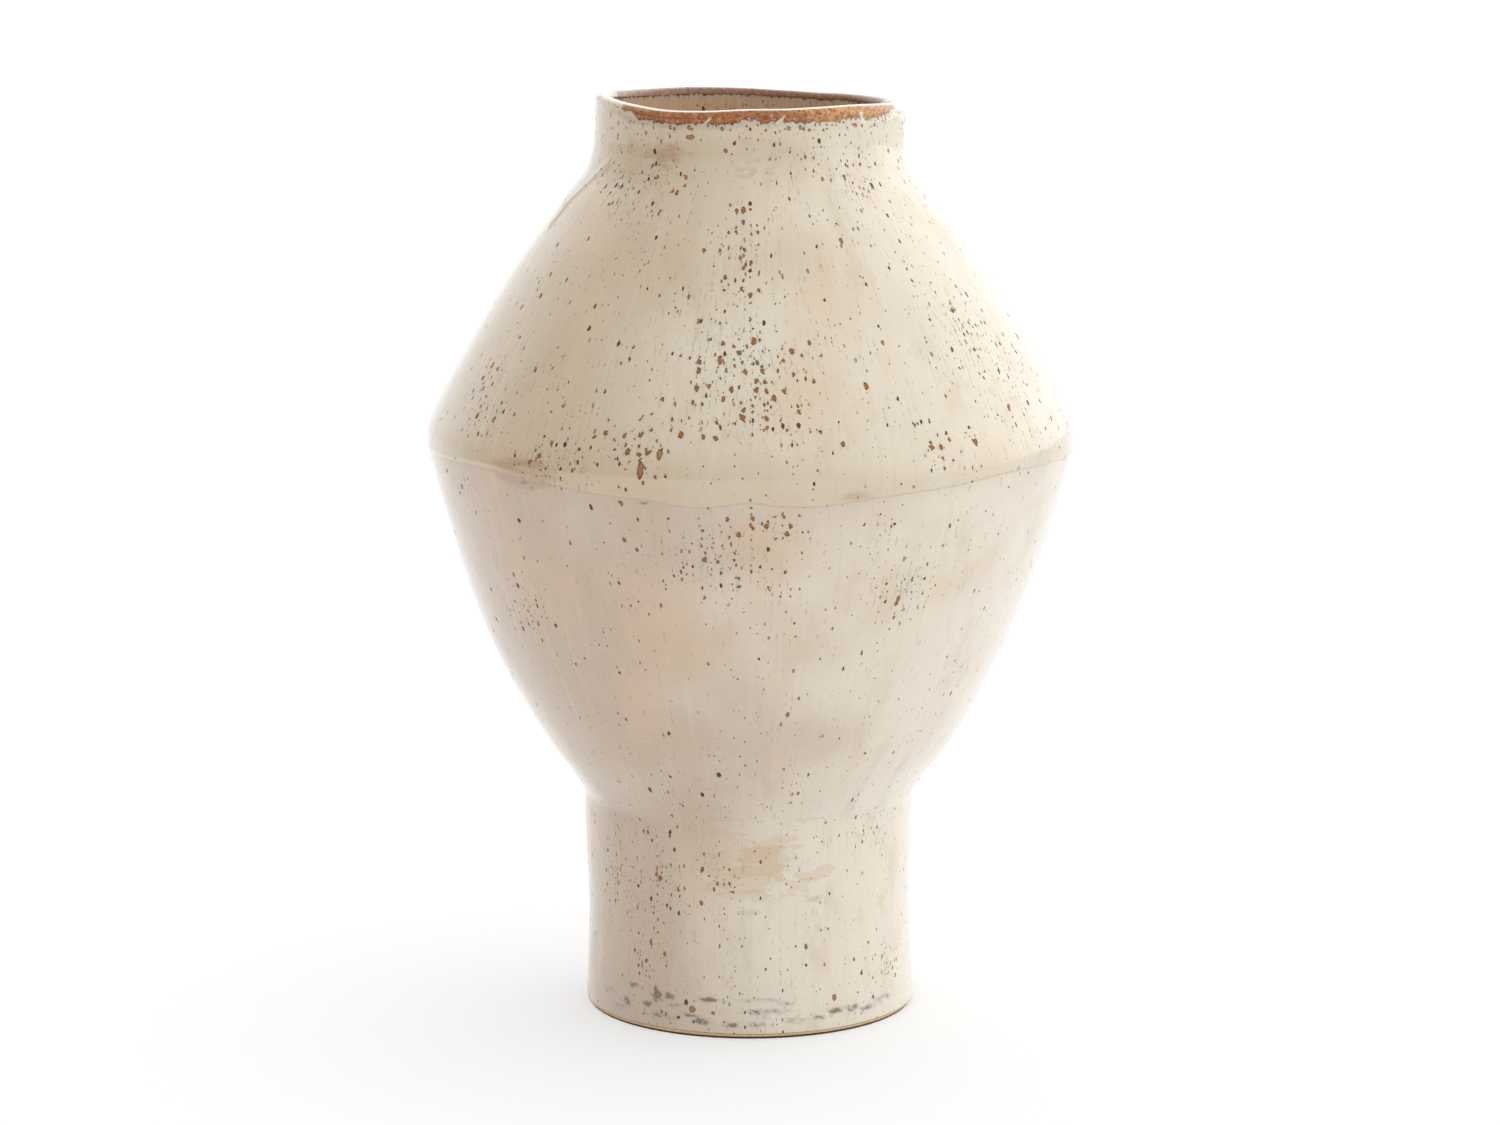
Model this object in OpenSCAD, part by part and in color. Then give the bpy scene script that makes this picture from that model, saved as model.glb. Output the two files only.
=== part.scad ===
// Stoneware vase: a straight foot, a bowl, a conical shoulder and a short collar.
// The clay sections are thrown one by one and luted together with slip in stepped joints.
// Glaze coats cover the clay, and a dark felt strip is stuck under the foot.
// Millimetres. The origin is at the centre of the surface that the vase stands on, +Z up.

/* [Outline] */
// Height from the standing surface to the top of the lip
height = 430; // [424:1:450]
// Radius of the glazed foot just above its rounded bottom edge
foot_r = 78.2; // [74:0.1:82]
// Radius of the glazed foot at its waist, halfway up
foot_waist_r = 77.1; // [73:0.1:82]
// Height of the corner where the foot meets the bowl
foot_top_h = 102; // [95:0.5:110]
// Radius of the corner where the foot meets the bowl
foot_top_r = 78; // [74:0.1:82]
// Radius of the belly, measured to its unrounded edge
belly_r = 152.5; // [140:0.1:160]
// Height of the belly
belly_h = 274.8; // [265:0.1:285]
// Radius of the corner where the shoulder meets the collar
neck_r = 72.6; // [69:0.1:76]
// Height of the corner where the shoulder meets the collar
neck_h = 400; // [390:0.5:404]
// Radius of the collar at the lip
lip_r = 71.7; // [68:0.1:75]

/* [Curves] */
// How far the bowl stands out from a straight cone
bowl_bulge = 11; // [6:0.5:16]
// How far the shoulder stands out from a straight cone
shoulder_bulge = 5.3; // [2:0.1:9]
// Reach of the bend between the foot and the bowl
foot_bend = 3; // [2:0.5:6]
// Reach of the rounded belly edge
belly_bend = 6; // [4:0.5:9]
// Reach of the bend between the shoulder and the collar
neck_bend = 12; // [8:0.5:14]
// Radius of the rounded bottom edge of the clay
foot_edge = 2.2; // [2.1:0.1:3]

/* [Clay] */
// Wall thickness of the foot
foot_wall_t = 8; // [7:0.5:11]
// Wall thickness at the belly
belly_wall_t = 6.5; // [5.5:0.5:9]
// Wall thickness at the lip
lip_wall_t = 4.6; // [4:0.2:6]
// Thickness of the base slab
slab_t = 10; // [9:0.5:14]
// How far the trimmed underside of the slab is raised inside the standing ring
trim_depth = 2.5; // [1:0.5:3]
// Width of the ledge in the foot that carries the slab
ledge_w = 6; // [4:0.5:8]
// Height of that ledge above the bottom of the clay
ledge_h = 5; // [4:0.5:7]

/* [Joints] */
// Thickness of the slip in the joints
slip_t = 0.8; // [0.5:0.1:1.2]
// Height of the step in each joint
step_h = 5; // [3:0.5:6]
// Height of the joint between the foot and the bowl
foot_joint_h = 96; // [90:0.5:98]
// Height of the joint between the bowl and the shoulder
belly_joint_h = 268; // [262:0.5:268]
// Height of the joint between the shoulder and the collar
neck_joint_h = 406; // [405:0.5:408]

/* [Glaze] */
// Thickness of the outer glaze
glaze_t = 0.8; // [0.6:0.1:1.2]
// Thickness of the liner glaze
liner_t = 0.8; // [0.6:0.1:1.2]
// Height of the bare clay line left at the bottom of the foot
bare_h = 1.8; // [1:0.1:2]
// Height of the line where the upper coat ends over the lower coat
overlap_h = 262; // [259:0.5:265]
// How far the lower coat runs up under the upper coat
lap_h = 9; // [5:0.5:12]
// Depth of the iron-brown band below the top of the lip, outside
band_out_h = 7; // [6:0.5:12]
// Depth of the iron-brown band below the top of the lip, inside
band_in_h = 6.5; // [6:0.5:10]

/* [Felt] */
// Thickness of the felt strip
felt_t = 1; // [0.8:0.1:1.5]
// Width of the felt strip
felt_w = 9; // [6:0.5:10]
// Gap left between the two ends of the strip
felt_gap = 3.6; // [2:0.2:6]
// Direction of the gap, in degrees from +X
felt_gap_at = -68; // [-180:1:180]

/* [Hidden] */
$fn = 128;

// Colours
FELT = [0.13, 0.11, 0.10];
CLAY = [0.72, 0.60, 0.45];
SLIP = [0.80, 0.70, 0.56];
LOWER_CREAM = [0.86, 0.77, 0.66];
UPPER_CREAM = [0.86, 0.79, 0.66];
IRON_BROWN = [0.68, 0.40, 0.20];
LINER = [0.72, 0.62, 0.51];

// Steps along the long arcs, along the bends and round the small edges
ARC_STEPS = 16;
BEND_STEPS = 6;
EDGE_STEPS = 6;
LIP_STEPS = 16;
// Closest that two points of one outline may be in height
MIN_GAP = 0.05;
// Share of the outer glaze that the upper coat takes where it laps over the lower coat
LAP_SHARE = 0.5;
// How far the felt reaches out under the rounded bottom edge, as a share of that edge's radius
FELT_REACH = 0.75;

foot_corner = [foot_top_r, foot_top_h];
belly_corner = [belly_r, belly_h];
neck_corner = [neck_r, neck_h];
lip_end = [lip_r, height];
edge_h = felt_t + foot_edge;
waist_h = (felt_t + foot_top_h) / 2;

// Point at fraction t of an arc from p to q that stands out from its chord by bulge
function on_arc(p, q, bulge, t) =
    let (
        chord = norm(q - p),
        along = (q - p) / chord,
        out = [along.y, -along.x],
        half = 2 * atan(2 * bulge / chord),
        radius = chord / 2 / sin(half),
        turn = half * (2 * t - 1)
    )
    (p + q) / 2 + radius * sin(turn) * along + radius * (cos(turn) - cos(half)) * out;

// The arc from p to q, without the reaches that its end bends take
function long_arc(p, q, bulge, start_reach, end_reach) =
    let (
        chord = norm(q - p),
        first = start_reach / chord,
        last = 1 - end_reach / chord
    )
    [for (i = [0 : ARC_STEPS]) on_arc(p, q, bulge, first + (last - first) * i / ARC_STEPS)];

// A bend from a to c round the corner b, without its two end points
function bend(a, b, c) =
    [
        for (i = [1 : BEND_STEPS - 1])
            let (t = i / BEND_STEPS)
            (1 - t) * (1 - t) * a + 2 * t * (1 - t) * b + t * t * c
    ];

bowl_arc = long_arc(foot_corner, belly_corner, bowl_bulge, foot_bend, belly_bend);
shoulder_arc = long_arc(belly_corner, neck_corner, shoulder_bulge, belly_bend, neck_bend);
foot_end = foot_corner - foot_bend * [0, 1];
collar_start = neck_corner + neck_bend * (lip_end - neck_corner) / norm(lip_end - neck_corner);

// The outline of the glazed outside, from above the bottom edge of the foot to the lip
outline = concat(
    [[foot_r, edge_h], [foot_waist_r, waist_h], foot_end],
    bend(foot_end, foot_corner, bowl_arc[0]),
    bowl_arc,
    bend(bowl_arc[ARC_STEPS], belly_corner, shoulder_arc[0]),
    shoulder_arc,
    bend(shoulder_arc[ARC_STEPS], neck_corner, collar_start),
    [collar_start, lip_end]
);

// The wall grows thinner from the foot to the lip
function wall_at(h) =
    lookup(h, [[foot_top_h, foot_wall_t], [belly_h, belly_wall_t], [height, lip_wall_t]]);

// Direction square to the path at its point i, pointing away from the axis
function facing(path, i) =
    let (
        step = path[min(i + 1, len(path) - 1)] - path[max(i - 1, 0)],
        along = step / norm(step)
    )
    [along.y, -along.x];

// The outline moved into the wall, by a share of the glaze and of the clay and by a share of the liner
function layer(glaze, clay, liner) =
    [
        for (i = [0 : len(outline) - 1])
            let (depth = glaze * glaze_t + clay * wall_at(outline[i].y) + liner * liner_t)
            outline[i] - depth * facing(outline, i)
    ];

glaze_face = layer(0, 0, 0);
lap_face = layer(LAP_SHARE, 0, 0);
clay_face = layer(1, 0, 0);
liner_face = layer(1, 1, 0);
inner_face = layer(1, 1, 1);

// Radius of a face at height h
function radius_at(face, h) = lookup(h, [for (p = face) [p.y, p.x]]);

// Point of a face at height h
function point_at(face, h) = [radius_at(face, h), h];

// The stretch of a face between two heights, upwards
function up(face, low, high) =
    concat(
        [point_at(face, low)],
        [for (p = face) if (p.y > low + MIN_GAP && p.y < high - MIN_GAP) p],
        [point_at(face, high)]
    );

// The same stretch, downwards
function down(face, high, low) =
    let (path = up(face, low, high))
    [for (i = [len(path) - 1 : -1 : 0]) path[i]];

// An arc of points about a centre
function edge(centre, radius, from, to, steps) =
    [
        for (i = [0 : steps])
            let (a = from + (to - from) * i / steps)
            centre + radius * [cos(a), sin(a)]
    ];

// A stepped joint at height h: outer edge low, inner edge one step higher.
// The face of the step stands halfway through the wall.
function step_r(h) = (radius_at(clay_face, h) + radius_at(liner_face, h + step_h)) / 2;
function joint_under(h) = [[step_r(h), h], [step_r(h), h + step_h]];
function joint_over(h) =
    [
        [step_r(h) + slip_t, h + step_h + slip_t],
        [step_r(h) + slip_t, h + slip_t]
    ];

// Rounded bottom edge of the foot
edge_centre = [radius_at(clay_face, edge_h) - foot_edge, edge_h];
bare_turn = -asin((foot_edge - bare_h) / foot_edge);
foot_inner_r = radius_at(liner_face, edge_h);
ledge_r = foot_inner_r - ledge_w;
ledge_top = felt_t + ledge_h;
slab_bottom = felt_t + trim_depth;
slab_top = slab_bottom + slab_t;
slab_r = min(foot_inner_r, radius_at(liner_face, slab_top)) - slip_t;

// Rounded lip
lip_half_w = lip_wall_t / 2 + (glaze_t + liner_t) / 2;
lip_h = height - lip_half_w;
lip_centre = [(radius_at(glaze_face, lip_h) + radius_at(inner_face, lip_h)) / 2, lip_h];
lip_clay_r = (radius_at(clay_face, lip_h) - radius_at(liner_face, lip_h)) / 2;
lip_glaze_r = (radius_at(glaze_face, lip_h) - radius_at(inner_face, lip_h)) / 2;
band_out = height - band_out_h;
band_in = height - band_in_h;

// Felt strip
felt_r = edge_centre.x + FELT_REACH * foot_edge;
felt_gap_turn = felt_gap / felt_r * 180 / PI;

module revolve(points) {
    rotate_extrude() polygon(points);
}

// Slip that fills the stepped joint at height h
module joint_slip(h) {
    color(SLIP) revolve(concat(
        up(clay_face, h, h + slip_t),
        [for (p = [1 : -1 : 0]) joint_over(h)[p]],
        down(liner_face, h + step_h + slip_t, h + step_h),
        [for (p = [1 : -1 : 0]) joint_under(h)[p]]
    ));
}

// A wall section of the body between two stepped joints
module wall_section(low_joint, high_joint) {
    color(CLAY) revolve(concat(
        up(clay_face, low_joint + slip_t, high_joint),
        joint_under(high_joint),
        down(liner_face, high_joint + step_h, low_joint + step_h + slip_t),
        joint_over(low_joint)
    ));
}

module felt_strip() {
    color(FELT)
        rotate([0, 0, felt_gap_at + felt_gap_turn / 2])
        rotate_extrude(angle = 360 - felt_gap_turn)
        translate([felt_r - felt_w, 0])
        square([felt_w, felt_t]);
}

module base_slab() {
    color(CLAY) revolve([
        [0, slab_bottom],
        [ledge_r - slip_t, slab_bottom],
        [ledge_r - slip_t, ledge_top + slip_t],
        [slab_r, ledge_top + slip_t],
        [slab_r, slab_top],
        [0, slab_top]
    ]);
}

module base_slip() {
    color(SLIP) revolve([
        [ledge_r - slip_t, slab_bottom],
        [ledge_r, slab_bottom],
        [ledge_r, ledge_top],
        [foot_inner_r, ledge_top],
        point_at(liner_face, slab_top),
        [slab_r, slab_top],
        [slab_r, ledge_top + slip_t],
        [ledge_r - slip_t, ledge_top + slip_t]
    ]);
}

module foot_wall() {
    color(CLAY) revolve(concat(
        [[ledge_r, felt_t]],
        edge(edge_centre, foot_edge, -90, 0, EDGE_STEPS),
        [for (p = up(clay_face, edge_h, foot_joint_h)) if (p.y > edge_h) p],
        joint_under(foot_joint_h),
        down(liner_face, foot_joint_h + step_h, slab_top),
        [[foot_inner_r, ledge_top], [ledge_r, ledge_top]]
    ));
}

module foot_slip() {
    joint_slip(foot_joint_h);
}

module bowl_wall() {
    wall_section(foot_joint_h, belly_joint_h);
}

module belly_slip() {
    joint_slip(belly_joint_h);
}

module shoulder_wall() {
    wall_section(belly_joint_h, neck_joint_h);
}

module neck_slip() {
    joint_slip(neck_joint_h);
}

module collar_wall() {
    color(CLAY) revolve(concat(
        up(clay_face, neck_joint_h + slip_t, lip_h),
        edge(lip_centre, lip_clay_r, 180 / LIP_STEPS, 180 - 180 / LIP_STEPS, LIP_STEPS - 2),
        down(liner_face, lip_h, neck_joint_h + step_h + slip_t),
        joint_over(neck_joint_h)
    ));
}

// The lower coat stops above the bare clay line and runs up under the upper coat
module lower_glaze() {
    color(LOWER_CREAM) revolve(concat(
        edge(edge_centre, foot_edge + glaze_t, bare_turn, 0, EDGE_STEPS),
        [for (p = up(glaze_face, edge_h, overlap_h)) if (p.y > edge_h) p],
        up(lap_face, overlap_h, overlap_h + lap_h),
        [for (p = down(clay_face, overlap_h + lap_h, edge_h)) if (p.y > edge_h) p],
        edge(edge_centre, foot_edge, 0, bare_turn, EDGE_STEPS)
    ));
}

module upper_glaze() {
    color(UPPER_CREAM) revolve(concat(
        up(glaze_face, overlap_h, band_out),
        down(clay_face, band_out, overlap_h + lap_h),
        down(lap_face, overlap_h + lap_h, overlap_h)
    ));
}

module rim_glaze() {
    color(IRON_BROWN) revolve(concat(
        up(glaze_face, band_out, lip_h),
        edge(lip_centre, lip_glaze_r, 180 / LIP_STEPS, 180 - 180 / LIP_STEPS, LIP_STEPS - 2),
        down(inner_face, lip_h, band_in),
        up(liner_face, band_in, lip_h),
        edge(lip_centre, lip_clay_r, 180 - 180 / LIP_STEPS, 180 / LIP_STEPS, LIP_STEPS - 2),
        down(clay_face, lip_h, band_out)
    ));
}

module liner_glaze() {
    color(LINER) revolve(concat(
        [[0, slab_top]],
        up(liner_face, slab_top, band_in),
        down(inner_face, band_in, slab_top + liner_t),
        [[0, slab_top + liner_t]]
    ));
}

felt_strip();
base_slab();
base_slip();
foot_wall();
foot_slip();
bowl_wall();
belly_slip();
shoulder_wall();
neck_slip();
collar_wall();
lower_glaze();
upper_glaze();
rim_glaze();
liner_glaze();
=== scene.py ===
"""The looks of a glazed stoneware vase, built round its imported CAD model."""

import math
from collections import namedtuple

import bpy
import numpy as np
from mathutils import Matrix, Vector


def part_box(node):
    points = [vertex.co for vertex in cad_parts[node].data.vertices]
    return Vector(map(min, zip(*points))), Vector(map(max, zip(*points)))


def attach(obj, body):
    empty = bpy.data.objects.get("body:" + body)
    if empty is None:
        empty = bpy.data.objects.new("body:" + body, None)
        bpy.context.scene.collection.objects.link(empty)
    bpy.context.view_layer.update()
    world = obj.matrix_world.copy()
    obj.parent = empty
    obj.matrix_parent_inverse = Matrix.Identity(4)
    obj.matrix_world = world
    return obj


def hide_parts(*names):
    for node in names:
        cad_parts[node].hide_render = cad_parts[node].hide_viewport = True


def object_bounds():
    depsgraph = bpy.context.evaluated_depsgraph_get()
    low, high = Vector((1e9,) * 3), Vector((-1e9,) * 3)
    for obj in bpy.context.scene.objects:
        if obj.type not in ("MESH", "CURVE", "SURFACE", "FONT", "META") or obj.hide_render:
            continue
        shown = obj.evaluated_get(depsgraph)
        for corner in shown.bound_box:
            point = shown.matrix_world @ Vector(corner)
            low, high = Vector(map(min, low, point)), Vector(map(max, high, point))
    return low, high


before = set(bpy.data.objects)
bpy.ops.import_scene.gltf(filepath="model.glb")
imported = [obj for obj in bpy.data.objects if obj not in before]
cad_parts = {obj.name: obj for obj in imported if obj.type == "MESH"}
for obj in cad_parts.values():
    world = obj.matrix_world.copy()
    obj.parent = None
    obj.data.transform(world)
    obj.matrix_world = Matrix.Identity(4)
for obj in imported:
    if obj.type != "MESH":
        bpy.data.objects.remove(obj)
cad_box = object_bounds()

MM = 0.001
COLUMNS = 640  # columns round a piece that shows
HIDDEN_COLUMNS = 160  # columns round a piece inside the wall
GLAZE_ROW = 2.2  # mm between the rows of the glaze
EDGE_ROW = 0.5  # mm between them near an edge of a coat
LIP_ROW = 0.8  # mm between the rows of the lip
EDGE_REACH = 4.0  # mm from an edge within which they are that close
HIDDEN_ROW = 3.5  # mm between the rows of a surface inside the wall
SIDE = 0.15  # least share of a face's normal that counts as looking sideways
STEP = 0.01  # mm, keeps two outlines from sharing a point

# Everything below is in millimetres and degrees until a mesh is made.
# A direction round the vase, its turn, is 0 at the front (-Y) and grows to the right (+X).


# -------- outlines, from the CAD model


def radii(node):
    """How far each vertex of a CAD node is from the axis."""
    return [math.hypot(v.co.x, v.co.y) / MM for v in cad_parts[node].data.vertices]


LIP_R = (min(radii("rim_glaze")) + max(radii("rim_glaze"))) / 2


def face_profile(node, side, start=0.0, end=math.inf, beyond_lip=None):
    """Heights and radii of a CAD revolve's faces that look away from the axis (1) or at it (-1)."""
    found = {}
    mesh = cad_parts[node].data
    for face in mesh.polygons:
        out = Vector((face.center.x, face.center.y, 0)).normalized()
        if face.normal.dot(out) * side > SIDE:
            for index in face.vertices:
                point = mesh.vertices[index].co
                height = round(point.z / MM, 2)
                around = math.hypot(point.x, point.y) / MM
                if beyond_lip is None or (around > LIP_R) == beyond_lip:
                    found[height] = around
    heights = np.array([h for h in sorted(found) if start <= h <= end])
    return heights, np.array([found[h] for h in heights])


def joined(*profiles):
    """One profile from several, given upwards."""
    return tuple(np.concatenate([p[axis] for p in profiles]) for axis in (0, 1))


def low(node):
    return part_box(node)[0].z / MM


def high(node):
    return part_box(node)[1].z / MM


TOP = high("rim_glaze")
BAND = low("rim_glaze")
OVERLAP = low("upper_glaze")
LAP_TOP = high("lower_glaze")
GLAZE_FOOT = low("lower_glaze")
CLAY_FOOT = low("foot_wall")
SLAB_TOP = high("base_slab")
LIP_HALF = face_profile("rim_glaze", 1, beyond_lip=True)[1][0] - LIP_R
LIP_Z = TOP - LIP_HALF

GLAZE_OUT = joined(
    face_profile("lower_glaze", 1, 0, OVERLAP),
    face_profile("upper_glaze", 1, OVERLAP + STEP, BAND),
    face_profile("rim_glaze", 1, BAND + STEP, LIP_Z + STEP, beyond_lip=True),
)
CLAY_OUT = joined(
    face_profile("foot_wall", 1, 0, GLAZE_FOOT - STEP),
    face_profile("lower_glaze", -1, GLAZE_FOOT + STEP, LAP_TOP),
    face_profile("upper_glaze", -1, LAP_TOP + STEP, BAND),
    face_profile("rim_glaze", -1, BAND + STEP, LIP_Z + STEP, beyond_lip=True),
)
CLAY_IN = joined(
    face_profile("liner_glaze", 1, 0, BAND),
    face_profile("rim_glaze", 1, BAND + STEP, LIP_Z + STEP, beyond_lip=False),
)
GLAZE_IN = joined(
    face_profile("liner_glaze", -1, 0, BAND),
    face_profile("rim_glaze", -1, BAND + STEP, LIP_Z + STEP, beyond_lip=False),
)
BELLY_Z = float(GLAZE_OUT[0][np.argmax(GLAZE_OUT[1])])
BELLY_REACH = 16.0  # mm above and below the belly edge that are rounded
BELLY_BLUR = 4.6  # mm, how widely the outline is averaged there
BELLY_ROW = 0.75  # mm between the rounded outline's points


def softened(profile):
    """The same profile with its belly edge rounded off a little more, as the glaze leaves it."""
    fine = np.arange(-3 * BELLY_BLUR, 3 * BELLY_BLUR + 0.1, 0.5)
    weight = np.exp(-((fine / BELLY_BLUR) ** 2) / 2)
    near = np.arange(BELLY_Z - BELLY_REACH, BELLY_Z + BELLY_REACH, BELLY_ROW)
    around = np.interp(near[:, None] + fine[None, :], *profile)
    away_from_edge = np.abs(profile[0] - BELLY_Z) > BELLY_REACH
    heights = np.concatenate([profile[0][away_from_edge], near])
    new = np.concatenate([profile[1][away_from_edge], (around * weight).sum(1) / weight.sum()])
    order = np.argsort(heights)
    return heights[order], new[order]


GLAZE_OUT = softened(GLAZE_OUT)
CLAY_OUT = softened(CLAY_OUT)
LINER_T = float(CLAY_IN[1][-1] - GLAZE_IN[1][-1])
LIP_CLAY = LIP_HALF - LINER_T


def radius(profile, height):
    return np.interp(height, profile[0], profile[1])


def spaced(profile, start, end, step, edge=None, reach=EDGE_REACH, edge_row=EDGE_ROW):
    """Heights from start to end about one step apart along the profile, closer near an edge."""
    fine = np.linspace(start, end, 2000)
    around = radius(profile, fine)
    wish = np.full(len(fine) - 1, float(step))
    if edge is not None:
        wish[np.abs(fine[1:] - edge) < reach] = edge_row
    along = np.concatenate([[0], np.cumsum(np.hypot(np.diff(fine), np.diff(around)) / wish)])
    count = max(2, int(round(along[-1])) + 1)
    return np.interp(np.linspace(0, along[-1], count), along, fine)


# -------- the hand-made form


NOISE_TOP = 500  # mm, noise is laid out up to here, above the vase's top
LIP_BEND = 32  # mm under the top that follow the lip's waves
RIDGE_Z = 402.5  # the soft ridge under the collar


def ramp(value, start, end):
    """0 up to start, 1 from end on, and smooth between them."""
    share = np.clip((value - start) / (end - start), 0, 1)
    return share * share * (3 - 2 * share)


def bell(value, middle, wide):
    """1 at the middle, and falling softly to 0 on both sides."""
    return np.exp(-(((value - middle) / wide) ** 2))


def away(turn, place):
    """Degrees from place to turn, the short way round."""
    return (turn - place + 180) % 360 - 180


def mound(turn, height, place_turn, place_height, wide, tall):
    """A soft mound of height 1 at a place on the wall, wide degrees and tall mm."""
    across = away(turn, place_turn) / wide
    up = (height - place_height) / tall
    return np.exp(-(across * across + up * up) / 2)


def with_humps(value, turn, humps):
    """A value with soft humps added, the same at all heights: turn, width in degrees, amount."""
    for place, wide, amount in humps:
        across = away(turn, place) / wide
        value = value + amount * np.exp(-across * across / 2)
    return value


def with_patches(value, turn, height, patches):
    """A value with soft patches added: turn, height, width in degrees, height in mm, amount."""
    for *place_and_size, amount in patches:
        value = value + amount * mound(turn, height, *place_and_size)
    return value


def lumps(turn, height, around, tall, seed):
    """Smooth noise from -1 to 1 that closes on itself: around lumps in a full turn, tall mm high."""
    rows = int(NOISE_TOP / tall) + 3
    grid = np.random.default_rng(seed).uniform(-1, 1, (rows, around))
    across = turn % 360 / 360 * around
    up = np.clip(height / tall, 0, rows - 2)
    col = np.floor(across).astype(int)
    row = np.floor(up).astype(int)
    fx = across - col
    fy = up - row
    fx = fx * fx * (3 - 2 * fx)
    fy = fy * fy * (3 - 2 * fy)
    left = col % around
    right = (col + 1) % around
    below = grid[row, left] * (1 - fx) + grid[row, right] * fx
    above = grid[row + 1, left] * (1 - fx) + grid[row + 1, right] * fx
    return below * (1 - fy) + above * fy


def ripple(turn, around, seed):
    """Smooth noise from -1 to 1 round the vase, the same at all heights."""
    return lumps(turn, 0 * turn, around, 100, seed)


# Where the wall stands out or in: turn, height, width in degrees, height in mm, amount in mm
SWELLS = [
    (-90, 388, 22, 5, 0.9),
    (-90, 325, 40, 24, -0.8),
    (-90, 232, 40, 22, -1),
    (-88, 172, 40, 20, 0.8),
    (-90, 113, 40, 7, -1.1),
    (-90, 90, 40, 14, 0.6),
    (90, 388, 35, 14, -0.9),
    (90, 315, 40, 22, 0.8),
    (90, 192, 40, 20, -0.8),
    (90, 132, 40, 10, 1.0),
    (90, 113, 40, 6, -1.1),
    (90, 62, 50, 40, -0.7),
    (180, 300, 50, 30, 1.0),
    (160, 200, 40, 26, -0.9),
    (-150, 350, 35, 26, -0.7),
]

# Waves in the lip: turn, width in degrees, amount in mm
LIP_WAVES = [
    (-86, 14, 2.6),
    (-31, 14, -2.0),
    (46, 22, 1.7),
]


def form(turn, height):
    """How far the wall as a whole stands off a true revolve, outwards and upwards."""
    out = 0.45 * lumps(turn, height, 5, 95, 11) + 0.22 * lumps(turn, height, 11, 42, 12)
    out = with_patches(out, turn, height, SWELLS) * ramp(height, 4, 30)
    near_lip = ramp(height, TOP - LIP_BEND, TOP)
    lift = -1.5 * np.sin(np.radians(turn)) - 0.3 * np.cos(np.radians(turn)) - 0.5
    lift = lift + 0.55 * ripple(turn, 9, 13) + 0.2 * ripple(turn, 26, 14)
    return out, near_lip * with_humps(lift, turn, LIP_WAVES)


# Lobes of the overlap line: turn, width in degrees, amount in mm
OVERLAP_LOBES = [
    (-10, 4.5, -2.4),
    (0, 2.5, 1.2),
    (11, 6, -2.2),
    (-50, 7, 1.5),
    (75, 6, -1.8),
    (128, 9, 2.2),
    (170, 7, -1.6),
    (-140, 8, 1.8),
    (-100, 6, -1.4),
]


def overlap_line(turn):
    """How far above its lowest height the upper coat ends."""
    line = 4.2 - 3.4 * np.cos(np.radians(3 * turn)) + 0.7 * ripple(turn, 30, 15)
    return with_humps(line, turn, OVERLAP_LOBES)


WARP_REACH = 34  # mm, how far from the overlap line the rows still follow it


def warp(turn, height):
    """The overlap line wanders, and the rows near it go with it."""
    return height + overlap_line(turn) * bell(height, OVERLAP, WARP_REACH)


# Lobes of the brown band's lower edge, in the same way
BAND_LOBES = [(-31, 4, -2.4), (-60, 8, 3)]


def band_edge(turn):
    """Height where the iron-brown band starts on the outside."""
    edge = BAND + 1.4 + 1.2 * ripple(turn, 22, 16) + 1.1 * ripple(turn, 70, 17)
    return with_humps(edge, turn, BAND_LOBES)


# Where cream glaze covers the lip instead of the brown band: turn, half width in degrees
CREAM_LIP = [(-82, 28), (89, 23)]
CREAM_FADE = 9  # degrees over which it starts and ends


def cream_lip(turn):
    """1 where cream glaze covers the lip, 0 elsewhere."""
    cream = 0 * turn
    for place, wide in CREAM_LIP:
        off = np.abs(away(turn, place))
        cream = np.maximum(cream, ramp(off, wide + CREAM_FADE, wide - CREAM_FADE))
    return cream


# Cream runs across the band: turn at its lower edge, half width in degrees, lean in degrees per mm
CREAM_RUNS = [
    (-46, 1.0, 0.9),
    (-17.5, 0.4, -0.8),
    (9, 0.3, -0.9),
    (45, 0.7, 0.2),
    (128, 0.9, 0.5),
    (158, 0.4, -0.6),
    (-173, 0.8, 0.4),
    (-128, 0.5, 0.8),
]


def cream_run(turn, height):
    """1 inside a run of cream glaze over the band, 0 outside it."""
    found = 0 * turn
    for place, wide, lean in CREAM_RUNS:
        off = np.abs(away(turn, place - lean * (height - BAND)))
        found = np.maximum(found, ramp(off, 1.6 * wide, 0.5 * wide))
    return found


# Wrinkles in the glaze, on the left shoulder and at the back: turns and heights of their points
WRINKLES = [
    [(-60, RIDGE_Z), (-67, 397), (-70, 391), (-74, 384), (-77, 372)],
    [(148, 398), (155, 386), (159, 377)],
]
SLANT = 1.2  # mm along the shoulder for each mm of height there


def distance_to_line(turn, height, line):
    """Distance in mm on the surface from each point to a bent line."""
    around = np.radians(1) * radius(GLAZE_OUT, height)
    best = np.full(np.shape(turn), math.inf)
    for (t0, h0), (t1, h1) in zip(line, line[1:]):
        px = away(turn, t0) * around
        py = (height - h0) * SLANT
        qx = away(t1, t0) * around
        qy = (h1 - h0) * SLANT
        share = np.clip((px * qx + py * qy) / (qx * qx + qy * qy), 0, 1)
        best = np.minimum(best, np.hypot(px - share * qx, py - share * qy))
    return best


def crease_distance(turn, height):
    """Distance in mm to the nearest wrinkle."""
    return np.minimum(*[distance_to_line(turn, height, line) for line in WRINKLES])


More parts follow.
